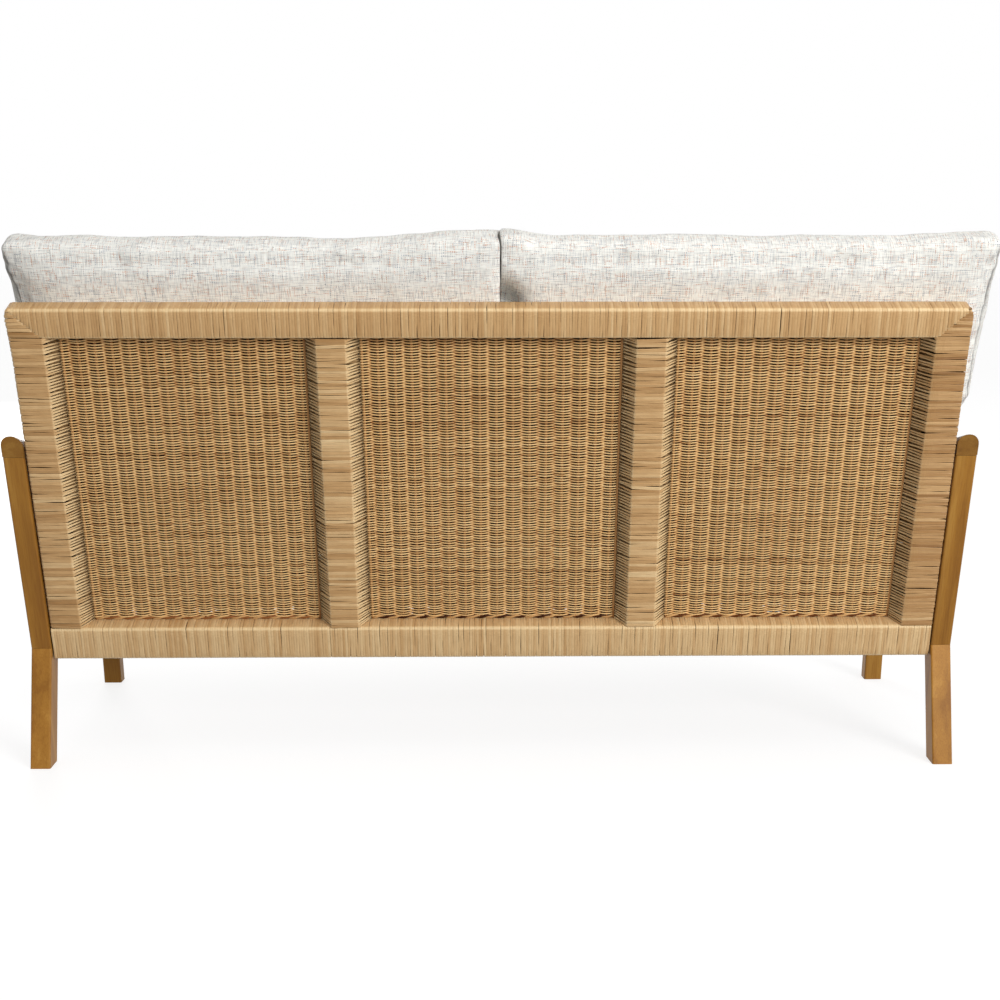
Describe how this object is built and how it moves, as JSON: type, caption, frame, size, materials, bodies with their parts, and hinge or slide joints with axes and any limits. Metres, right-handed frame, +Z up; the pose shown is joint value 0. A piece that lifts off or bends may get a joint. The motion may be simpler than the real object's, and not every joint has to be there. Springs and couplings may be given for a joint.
{
  "type": "garden sofa",
  "caption": "Two-seat garden sofa: dog-leg timber side frames, raked cane-wrapped back with woven panels, slatted seat deck and loose tweed cushions.",
  "frame": {"origin": "centre of the bounding box's footprint, on the floor", "axes": "+X to the sitter's left along the sofa's length, +Y to the back, +Z up; the sitter faces -Y"},
  "size_m": [1.7, 0.795, 0.9695],
  "materials": {
    "timber": "oiled, satin",
    "hardwood": "planed, unfinished",
    "cane": "split cane strand, semi-gloss",
    "weave": "woven cane, satin",
    "bolts": "bright zinc plate",
    "fabric": "off-white slub tweed"
  },
  "bodies": {
    "frame": {"rear_leg_left": "timber", "rear_leg_right": "timber", "rear_post_left": "timber", "rear_post_right": "timber", "front_leg_left": "timber", "front_leg_right": "timber", "side_rail_left": "timber", "side_rail_right": "timber", "armrest_left": "timber", "armrest_right": "timber", "back_top_core": "hardwood", "back_bottom_core": "hardwood", "back_stile_left_core": "hardwood", "back_stile_right_core": "hardwood", "back_mullion_left_core": "hardwood", "back_mullion_right_core": "hardwood", "front_rail_core": "hardwood", "rear_seat_rail": "hardwood", "front_cleat": "hardwood", "centre_stretcher": "hardwood", "back_top_wrap": "cane", "back_bottom_wrap": "cane", "back_stile_left_wrap": "cane", "back_stile_right_wrap": "cane", "back_mullion_left_wrap": "cane", "back_mullion_right_wrap": "cane", "front_rail_wrap": "cane", "woven_panel_left": "weave", "woven_panel_centre": "weave", "woven_panel_right": "weave", "seat_slat_01": "timber", "seat_slat_02": "timber", "seat_slat_03": "timber", "seat_slat_04": "timber", "seat_slat_05": "timber", "seat_slat_06": "timber", "seat_slat_07": "timber", "seat_slat_08": "timber", "seat_slat_09": "timber", "seat_slat_10": "timber", "seat_slat_11": "timber", "seat_slat_12": "timber", "bolt_back_upper_left": "bolts", "bolt_back_upper_right": "bolts", "bolt_back_lower_left": "bolts", "bolt_back_lower_right": "bolts", "bolt_front_rail_left": "bolts", "bolt_front_rail_right": "bolts", "bolt_rear_rail_left": "bolts", "bolt_rear_rail_right": "bolts"},
    "seat_cushion_left": {"seat_cushion_left": "fabric"},
    "seat_cushion_right": {"seat_cushion_right": "fabric"},
    "back_cushion_left": {"back_cushion_left": "fabric"},
    "back_cushion_right": {"back_cushion_right": "fabric"}
  },
  "joints": [
    {"name": "seat_cushion_left_lift_off", "type": "slide", "parent": "frame", "child": "seat_cushion_left", "axis": [0, -0.9976, 0.0698], "range_m": [0, 0.3]},
    {"name": "seat_cushion_right_lift_off", "type": "slide", "parent": "frame", "child": "seat_cushion_right", "axis": [0, -0.9976, 0.0698], "range_m": [0, 0.3]},
    {"name": "back_cushion_left_lift_off", "type": "slide", "parent": "frame", "child": "back_cushion_left", "axis": [0, 0.314, 0.9494], "range_m": [0, 0.3]},
    {"name": "back_cushion_right_lift_off", "type": "slide", "parent": "frame", "child": "back_cushion_right", "axis": [0, 0.314, 0.9494], "range_m": [0, 0.3]}
  ]
}
